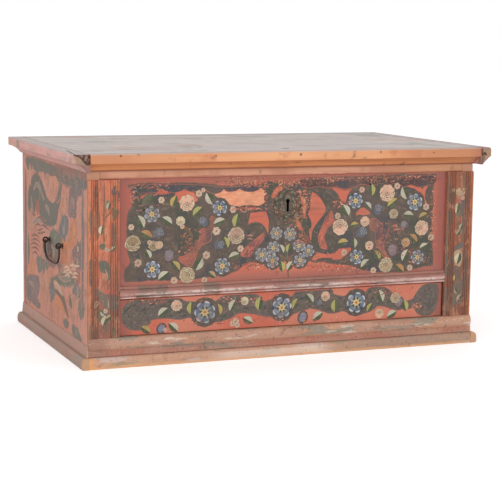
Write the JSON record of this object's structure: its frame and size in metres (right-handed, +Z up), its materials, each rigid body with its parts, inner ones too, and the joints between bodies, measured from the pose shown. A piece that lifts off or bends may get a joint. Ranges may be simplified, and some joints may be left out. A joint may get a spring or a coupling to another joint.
{
  "type": "marriage chest",
  "caption": "Painted pine marriage chest with a hinged lid, a hidden drawer below the front, a chest lock and iron drop handles.",
  "frame": {"origin": "on the floor, at the middle of the whole object's box", "axes": "+X to the right along the front, +Y to the back, +Z up; the front faces -Y"},
  "size_m": [1.204, 0.7494, 0.5548],
  "materials": {
    "painted_front": "worn red oil paint with dark green scrolls and flowers, on pine",
    "painted_side": "faded salmon oil paint with grey-green scrolls, on pine",
    "bare_pine": "bare pine, waxed and rubbed, with some red left in the cove",
    "painted_lid": "pale grey-pink paint worn down to the grain",
    "painted_base": "thin brown-pink paint, rubbed to bare wood on the arrises",
    "raw_pine": "unpainted pine, darkened with age",
    "forged_iron": "forged iron, dark brown, dull",
    "lock_iron": "thin forged plate, olive-brown under old paint"
  },
  "bodies": {
    "chest": {"side_board_left": "painted_side", "side_board_right": "painted_side", "back_board_lower": "raw_pine", "back_board_upper": "raw_pine", "front_top_rail": "bare_pine", "front_panel": "painted_front", "front_base_rail": "raw_pine", "floor_board_1": "raw_pine", "floor_board_2": "raw_pine", "floor_board_3": "raw_pine", "pilaster_left": "painted_front", "pilaster_right": "painted_front", "waist_moulding": "painted_front", "base_moulding_front": "painted_base", "plinth_front": "painted_base", "plinth_left": "painted_base", "plinth_right": "painted_base", "base_band_left": "painted_base", "base_band_right": "painted_base", "drawer_runner_left": "raw_pine", "drawer_runner_right": "raw_pine", "hinge_strap_back_left": "forged_iron", "hinge_strap_back_right": "forged_iron", "hinge_pin_left": "forged_iron", "hinge_pin_right": "forged_iron", "escutcheon": "lock_iron", "lock_plate": "forged_iron", "lock_cover": "forged_iron", "handle_eye_left_front": "forged_iron", "handle_eye_left_back": "forged_iron", "handle_eye_right_front": "forged_iron", "handle_eye_right_back": "forged_iron"},
    "lid": {"lid_board_1": "painted_lid", "lid_board_2": "painted_lid", "lid_board_3": "painted_lid", "lid_moulding_front": "bare_pine", "lid_moulding_left": "painted_side", "lid_moulding_right": "painted_side", "hinge_strap_lid_left": "forged_iron", "hinge_strap_lid_right": "forged_iron", "lid_staple": "forged_iron"},
    "drawer": {"drawer_front": "painted_front", "drawer_side_left": "raw_pine", "drawer_side_right": "raw_pine", "drawer_back": "raw_pine", "drawer_bottom": "raw_pine"},
    "lock_bolt": {"lock_bolt": "forged_iron"},
    "bail_left": {"handle_bail_left": "forged_iron"},
    "bail_right": {"handle_bail_right": "forged_iron"}
  },
  "joints": [
    {"name": "lid_hinge", "type": "hinge", "parent": "chest", "child": "lid", "pos_m": [0, 0.36865, 0.5255], "axis": [-1, 0, 0], "range_deg": [0, 100]},
    {"name": "drawer_slide", "type": "slide", "parent": "chest", "child": "drawer", "axis": [0, -1, 0], "range_m": [0, 0.42]},
    {"name": "lock_bolt_slide", "type": "slide", "parent": "chest", "child": "lock_bolt", "axis": [1, 0, 0], "range_m": [0, 0.016]},
    {"name": "left_bail_hinge", "type": "hinge", "parent": "chest", "child": "bail_left", "pos_m": [-0.572, -0.02405, 0.2869], "axis": [0, 1, 0], "range_deg": [0, 150]},
    {"name": "right_bail_hinge", "type": "hinge", "parent": "chest", "child": "bail_right", "pos_m": [0.572, -0.02405, 0.2869], "axis": [0, -1, 0], "range_deg": [0, 150]}
  ]
}
